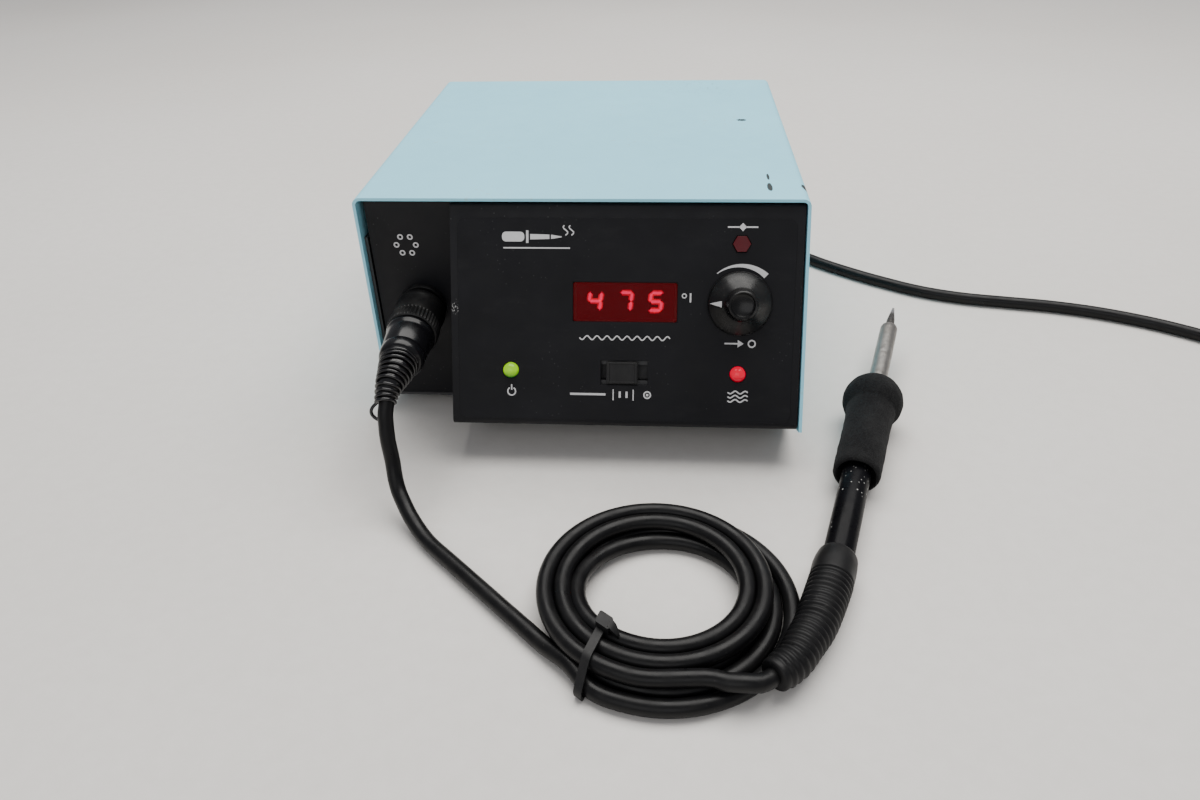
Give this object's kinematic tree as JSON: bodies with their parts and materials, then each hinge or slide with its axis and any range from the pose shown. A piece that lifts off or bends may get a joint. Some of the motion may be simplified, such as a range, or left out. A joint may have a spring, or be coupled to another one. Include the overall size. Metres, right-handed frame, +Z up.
{
  "type": "soldering iron station",
  "caption": "Bench soldering station with sheet-steel cover, sloped black console, red display, dial and switch, plug-in iron with foam grip, tied cord coil and mains lead.",
  "frame": {"origin": "on the bench, under the middle of the box round the housing and the iron, the cords left out", "axes": "+Z up; +Y from the console's front to the rear panel; +X to the right seen from the front"},
  "size_m": [0.4873, 0.3919, 0.0951],
  "materials": {
    "cover_paint": "satin",
    "black_panel": "matte",
    "overlay": "fine matte",
    "dark_steel": "matte",
    "rubber": "matte",
    "black_plastic": "satin",
    "gloss_black": "gloss",
    "screw_steel": "bright",
    "bright_steel": "satin",
    "window_red": "clear",
    "display_dark": "matte",
    "lit_red": "lit",
    "led_green": "lit",
    "led_red": "lit",
    "led_dark": "gloss",
    "board_green": "satin",
    "component": "matte",
    "sink_black": "anodised",
    "core_steel": "laminated",
    "coil_wrap": "taped",
    "brass": "bright",
    "ivory": "matte",
    "foam": "foam",
    "cord_rubber": "satin",
    "spring_black": "gloss"
  },
  "bodies": {
    "housing": {"cover": "cover_paint", "base_pan": "dark_steel", "rear_panel": "dark_steel", "recess_panel": "black_panel", "console_panel": "black_panel", "panel_overlay": "overlay", "foot_1": "rubber", "foot_2": "rubber", "foot_3": "rubber", "foot_4": "rubber", "cover_screws": "screw_steel", "chassis_screws": "screw_steel", "display_window": "window_red", "display_module": "display_dark", "display_digits": "lit_red", "display_board": "board_green", "power_led": "led_green", "heater_led": "led_red", "set_led": "led_dark", "pot_body": "dark_steel", "pot_nut": "screw_steel", "switch_body": "component", "iron_socket": "black_plastic", "socket_nut": "screw_steel", "main_board": "board_green", "standoffs": "brass", "board_components": "component", "heatsink": "sink_black", "transformer_core": "core_steel", "transformer_coil": "coil_wrap", "transformer_bracket": "bright_steel", "power_switch_body": "black_plastic", "fuse_holder": "black_plastic", "ground_jack": "brass", "cord_bushing": "rubber", "plug_body": "black_plastic", "plug_spring": "spring_black", "iron_cord_lead": "cord_rubber", "iron_cord_coil": "cord_rubber", "iron_cord_tail": "cord_rubber", "coil_tie": "rubber", "mains_cord": "cord_rubber", "mains_coil": "cord_rubber", "mains_tail": "cord_rubber", "mains_tie": "rubber", "mains_plug": "rubber", "mains_blades": "brass"},
    "pull": {"pull_collar": "ivory"},
    "dial": {"knob": "gloss_black", "pot_shaft": "bright_steel"},
    "slider": {"switch_slider": "black_plastic"},
    "rocker": {"power_rocker": "gloss_black"},
    "cap": {"fuse_cap": "black_plastic"},
    "coupling": {"plug_ring": "black_plastic"},
    "iron": {"handle_tube": "gloss_black", "foam_grip": "foam", "handle_socket": "ivory", "cord_boot": "rubber"},
    "cartridge": {"solder_tip": "bright_steel", "tip_barrel": "bright_steel"}
  },
  "joints": [
    {"name": "knob_pull", "type": "slide", "parent": "housing", "child": "pull", "axis": [0, -0.9063, 0.4226], "range_m": [0, 0.0035]},
    {"name": "knob_turn", "type": "hinge", "parent": "pull", "child": "dial", "pos_m": [0.03347, -0.037, 0.06375], "axis": [0, -0.9063, 0.4226], "range_deg": [-240, 60]},
    {"name": "mode_slide", "type": "slide", "parent": "housing", "child": "slider", "axis": [1, 0, 0], "range_m": [-0.0017, 0.0034]},
    {"name": "power_rock", "type": "hinge", "parent": "housing", "child": "rocker", "pos_m": [-0.07873, 0.148, 0.048], "axis": [1, 0, 0], "range_deg": [0, 20]},
    {"name": "fuse_turn", "type": "hinge", "parent": "housing", "child": "cap", "pos_m": [-0.04673, 0.155, 0.062], "axis": [0, 1, 0], "range_deg": [-60, 0]},
    {"name": "ring_turn", "type": "hinge", "parent": "housing", "child": "coupling", "pos_m": [-0.09093, -0.02487, 0.04815], "axis": [0, -0.9969, -0.0785], "range_deg": [-90, 0]},
    {"name": "iron_lift", "type": "hinge", "parent": "housing", "child": "iron", "pos_m": [0.04057, -0.1558, 0.011], "axis": [0.9548, -0.2974, 0], "range_deg": [0, 20]},
    {"name": "cartridge_pull", "type": "slide", "parent": "iron", "child": "cartridge", "axis": [0.2969, 0.9531, 0.0593], "range_m": [0, 0.04]}
  ]
}
